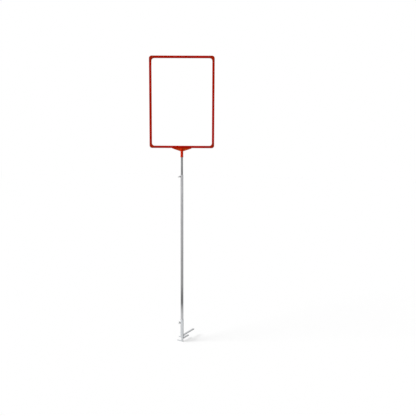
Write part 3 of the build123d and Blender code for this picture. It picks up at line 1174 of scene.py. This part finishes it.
@dataclass
class ScrewClamp:
    """A wing screw in a weld nut on a tube, pressing on a nylon pad.

    Its pieces are modelled along +Z, out of the tube, and then placed.
    """

    name: str
    screw_body: Body
    tube_body: Body
    tube_slot: str
    tube_node: str
    wing_angle: float
    pitch: float = 1.0 * MM
    crest: float = 2.95 * MM
    root: float = 2.4 * MM
    thread_lead_in: float = 1.41
    thread_steps: int = 40
    hub_length: float = 8.0 * MM
    hub_base: float = 5.0 * MM
    hub_end: float = 4.0 * MM
    hub_round: float = 0.9 * MM
    hub_round_middle: float = 0.27 * MM
    hub_foot_round: float = 0.3 * MM
    hub_flare: float = 0.09 * MM
    wing_reach: float = 7.6 * MM
    lobe_radius: float = 4.2 * MM
    wing_root: float = 2.4 * MM
    wing_rise: float = 2.0 * MM
    wing_foot_gap: float = 0.6 * MM
    wing_thickness: float = 2.8 * MM
    wing_sides: int = 40
    round_steps: int = 64
    voxel: float = 0.22 * MM
    smoothing: int = 14
    nut_chamfer: float = 0.7 * MM
    nut_chamfer_slope: float = math.tan(math.radians(30))
    nut_edge: float = 0.1 * MM
    sliver: float = 0.02 * MM
    bead: float = 0.85 * MM
    bead_rise_share: float = 0.15
    bead_steps: int = 120

    def __post_init__(self) -> None:
        """Reads the places from the screw's and the nut's CAD nodes."""
        self.screw_node = f"{self.name}_wing_screw"
        self.nut_node = f"{self.name}_nut"
        self.nut_low, self.nut_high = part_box(self.nut_node)
        self.height = (self.nut_low.z + self.nut_high.z) / 2
        axis = pole_axis()
        seat = Matrix.Translation((axis.x, axis.y, self.height))
        self.place = seat @ Matrix.Rotation(-QUARTER_TURN, 4, "Y")
        screw_low, screw_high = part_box(self.screw_node)
        self.tip = -screw_high.x
        self.hub = -screw_low.x - self.hub_length - self.wing_rise
        tube_low, tube_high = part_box(self.tube_node)
        self.tube_radius = (tube_high.x - tube_low.x) / 2

    def build(self) -> None:
        """Makes the screw, the nut, its weld and the pad."""
        screw = self.shank().join(self.head()).place(self.place)
        zinc = ZincPlate(
            f"{self.name}_screw_zinc", (196, 197, 199), (180, 180, 180), rough=0.54,
            mottle=2.5 * MM,
        )
        screw.fit(self.screw_body, "screw_steel", zinc.material(), self.screw_node)
        # The nut: dark plain steel, with painted shade that darkens its colour further for the shade
        # at its side
        shaded_dark_steel = ZincPlate(
            f"{self.name}_nut_shaded_dark_steel", (78, 77, 77), (62, 60, 58), rough=0.45, mottle=2 * MM,
            edge_colour=(122, 121, 119),
        )
        self.nut().fit(self.tube_body, "nut_steel", shaded_dark_steel.material(), self.nut_node)
        weld = ZincPlate(
            f"{self.name}_weld_zinc", (168, 169, 170), (140, 138, 134), rough=0.5, mottle=MM
        )
        self.weld().fit(self.tube_body, self.tube_slot, weld.material())
        nylon = HiddenPlastic(f"{self.name}_pad_nylon", (226, 222, 208), soft=0.1)
        dress(f"{self.name}_pad", nylon.material())

    def shank(self) -> Workpiece:
        """Winds up one pitch of the thread's section and cuts it to length.

        The thread begins a lead-in of so many pitches before the tip, so that no edge of it lies
        in the plane of the cut.

        Returns:
            The threaded shank, which ends inside the hub.
        """
        start = self.tip - self.thread_lead_in * self.pitch
        wound_to, cut_at = self.hub + self.hub_length / 2, self.hub + self.hub_length / 4
        flat = self.pitch / 8
        slope = (self.pitch - 2 * flat) / 2
        radius, height = self.root, start
        section = [(radius, height)]
        rise = self.crest - self.root
        for out, along in ((0, flat), (rise, slope), (0, flat), (-rise, slope)):
            radius, height = radius + out, height + along
            section.append((radius, height))
        shank = Workpiece.speck(f"{self.name}_wing_screw_cast")
        with shank.editing("VERT"):
            shank.draw(section)
        turns = math.ceil((wound_to - start) / self.pitch)
        shank.modify(
            "SCREW", axis="Z", angle=FULL_TURN, screw_offset=self.pitch, iterations=turns,
            steps=self.thread_steps, render_steps=self.thread_steps, use_smooth_shade=False,
        ).closed()
        for cut, inner in ((self.tip, True), (cut_at, False)):
            with shank.editing("VERT"):
                bpy.ops.mesh.bisect(
                    plane_co=(0, 0, cut), plane_no=(0, 0, 1), use_fill=True, clear_inner=inner,
                    clear_outer=not inner, threshold=MERGE_DISTANCE,
                )
        return shank.closed()

    def head(self) -> Workpiece:
        """Joins the hub and two wings and remeshes them, so that they flow into each other.

        Returns:
            The cast head.
        """
        base, end, middle = self.hub_base, self.hub_end, self.hub_round_middle
        low, high = self.hub, self.hub + self.hub_length
        outline = [
            (0, low),
            (base - self.hub_foot_round, low),
            (base, low + self.hub_foot_round),
            (end + self.hub_flare, high - self.hub_round),
            (end - middle, high - middle),
            (end - self.hub_round, high),
            (0, high),
        ]
        hub = Workpiece.turned(f"{self.name}_hub", outline, self.round_steps)
        wings = [self.wing(side) for side in (-1, 1)]
        hub.join(*wings)
        hub.modify("REMESH", mode="VOXEL", voxel_size=self.voxel)
        return hub.modify("SMOOTH", factor=0.5, iterations=self.smoothing)

    def wing(self, side: int) -> Workpiece:
        """Spans a wing between a small disc at the hub and a larger one at the tip.

        Args:
            side: -1 or 1, for the side of the hub that it is on.

        Returns:
            The wing.
        """
        bpy.ops.object.select_all(action="DESELECT")
        lobe_height = self.hub + self.hub_length + self.wing_rise - self.lobe_radius
        root_height = self.hub + self.wing_root + self.wing_foot_gap
        disc = {
            "rotation": (QUARTER_TURN, 0, 0),
            "vertices": self.wing_sides,
            "depth": self.wing_thickness,
        }
        lobe_place = (side * self.wing_reach, 0, lobe_height)
        bpy.ops.mesh.primitive_cylinder_add(radius=self.lobe_radius, location=lobe_place, **disc)
        wing = Workpiece(f"{self.name}_wing")
        with wing.editing():
            root_place = (0, 0, root_height)
            bpy.ops.mesh.primitive_cylinder_add(radius=self.wing_root, location=root_place, **disc)
            bpy.ops.mesh.select_all(action="SELECT")
            bpy.ops.mesh.convex_hull()
        return wing.place(Matrix.Rotation(self.wing_angle, 4, "Z") @ wing.obj.matrix_world)

    def nut(self) -> Workpiece:
        """Chamfers the nut's outer corners, as turned from hexagon bar.

        Returns:
            The weld nut.
        """
        nut = Workpiece.copy_of(self.nut_node, f"{self.name}_nut_chamfered")
        outer_face = -self.nut_low.x
        flats = (self.nut_high.y - self.nut_low.y) / 2
        corners = (self.nut_high.z - self.nut_low.z) / 2
        room = 2 * MM
        outline = [
            (0, 0),
            (corners + room, 0),
            (corners + room, outer_face - self.nut_chamfer - room * self.nut_chamfer_slope),
            (flats, outer_face),
            (0, outer_face),
        ]
        cone = Workpiece.turned("nut_cone", outline, self.round_steps).place(self.place)
        nut.combine(cone, "INTERSECT").cleaned(self.sliver)
        return nut.soften(self.nut_edge, 1).cleaned(self.sliver / 2)

    def weld(self) -> Workpiece:
        """Lays the bead where the nut sits on the tube.

        Returns:
            The weld bead.
        """
        corners = (self.nut_high.z - self.nut_low.z) / 2
        route = []
        for index in range(self.bead_steps):
            angle = FULL_TURN * index / self.bead_steps
            up, side = corners * math.cos(angle), corners * math.sin(angle)
            out = math.sqrt(self.tube_radius**2 - side**2)
            route.append(self.place @ Vector((up, side, out + self.bead_rise_share * self.bead)))
        return weld_bead(f"{self.name}_nut_weld", route, self.bead, closed=True)


@dataclass
class Foot:
    """The steel foot: a socket tube with a hook of two bent bars and a side jaw, all welded.

    Shares of the bead's radius say how deep its middle lies in a corner, how far beside the socket,
    and how far behind the tongue's face. Rooms are what a seam leaves free at a bend or an end.
    """

    socket_wall: float = 1.2 * MM
    rim: float = 0.25 * MM
    bar_edge: float = 0.5 * MM
    jaw_edge: float = 0.35 * MM
    bead: float = 1.3 * MM
    sunk_share: float = 0.3
    beside_share: float = 0.5
    behind_share: float = 0.2
    bend_room: float = 4 * MM
    prong_bend_room: float = 6 * MM
    end_room: float = 1 * MM
    rim_steps: int = 30

    def build(self) -> None:
        """Makes the socket, the bars, the side jaw and their welds."""
        zinc = ZincPlate("foot_zinc").material()
        socket = drawn_tube("socket_tube", self.socket_wall, self.rim, "socket_nut")
        socket.fit(Body.FOOT, "foot_steel", zinc, "socket_tube")
        edges = {
            "foot_tongue": self.bar_edge,
            "foot_prong": self.bar_edge,
            "foot_side_jaw": self.jaw_edge,
        }
        for node, edge in edges.items():
            piece = Workpiece.copy_of(node, f"{node}_bar").soften(edge)
            piece.fit(Body.FOOT, "foot_steel", zinc, node)
        dress("socket_floor", zinc)
        self.welds()

    def welds(self) -> None:
        """Lays the beads that hold the socket, the bars and the side jaw together."""
        zinc = ZincPlate(
            "foot_weld_zinc", (176, 178, 180), (150, 149, 146), rough=0.5, mottle=MM
        )
        material = zinc.material()
        for name, route in self.seams().items():
            weld_bead(name, route, self.bead).fit(Body.FOOT, "foot_steel", material)

    def seams(self) -> dict[str, list[Vector]]:
        """Works out where the welds lie from the boxes of the pieces that they join.

        Returns:
            The route of every weld by its name.
        """
        axis = pole_axis()
        socket_low, socket_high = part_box("socket_tube")
        radius = (socket_high.x - socket_low.x) / 2
        tongue_low, tongue_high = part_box("foot_tongue")
        prong_low, prong_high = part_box("foot_prong")
        jaw_low, jaw_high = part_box("foot_side_jaw")
        face, foot, seam = tongue_low.y, socket_low.z, tongue_low.z
        sunk = self.sunk_share * self.bead
        flank = math.sqrt(radius**2 - (face - axis.y) ** 2) + self.beside_share * self.bead
        behind = face - self.behind_share * self.bead
        arm_face = math.sqrt(radius**2 - (jaw_low.y - axis.y) ** 2) - sunk
        bend = tongue_high.z - self.bend_room
        room = self.end_room
        left, right, front = tongue_low.x - sunk, prong_high.x + sunk, jaw_low.y - sunk
        below, above = seam - sunk, seam + sunk
        return {
            "weld_socket_right": straight((flank, behind, foot + sunk), (flank, behind, bend)),
            "weld_socket_left": straight((-flank, behind, foot + sunk), (-flank, behind, seam)),
            "weld_tongue_left": straight((left, face + sunk, above), (left, face + sunk, bend)),
            "weld_legs_right": straight((right, face + room, below), (right, -room, below)),
            "weld_legs_left": straight((left, face + 2 * room, above), (left, -room, above)),
            "weld_jaw_right": straight(
                (jaw_high.x, face, prong_low.z + self.prong_bend_room),
                (jaw_high.x, face, foot - 2 * room),
            ),
            "weld_jaw_front": straight(
                (-arm_face, front, foot - sunk), (jaw_high.x - room, front, foot - sunk)
            ),
            "weld_jaw_rim": self.rim_route(
                radius + sunk, foot + sunk, jaw_low.y - axis.y, face - axis.y
            ),
        }

    def rim_route(self, radius: float, height: float, near: float, far: float) -> list[Vector]:
        """Lays points round the socket's left rim.

        Args:
            radius: The route's radius about the pole's axis.
            height: Its height.
            near: How far behind the axis it begins.
            far: How far behind the axis it ends.

        Returns:
            The points.
        """
        axis = pole_axis()
        first, last = math.asin(near / radius), math.asin(far / radius)
        route = []
        for index in range(self.rim_steps + 1):
            turn = first + (last - first) * index / self.rim_steps
            across, back = radius * math.cos(turn), radius * math.sin(turn)
            route.append(Vector((axis.x - across, axis.y + back, height)))
        return route


def main() -> None:
    """Builds the studio and every sub-assembly, from the top down."""
    logging.basicConfig(level=logging.INFO, format="%(name)s: %(message)s")
    bpy.ops.object.select_all(action="DESELECT")
    Studio().build(CAD_BOX[0].z)
    SignFrame().build()
    TeeHolder().build()
    UpperPole().build()
    LowerPole().build()
    ScrewClamp(
        "clamp", Body.CLAMP_SCREW, Body.LOWER_POLE, "lower_tube_steel", "lower_tube",
        CLAMP_WING_ANGLE,
    ).build()
    ScrewClamp(
        "socket", Body.SOCKET_SCREW, Body.FOOT, "foot_steel", "socket_tube", SOCKET_WING_ANGLE
    ).build()
    Foot().build()


if __name__ == "__main__":
    main()
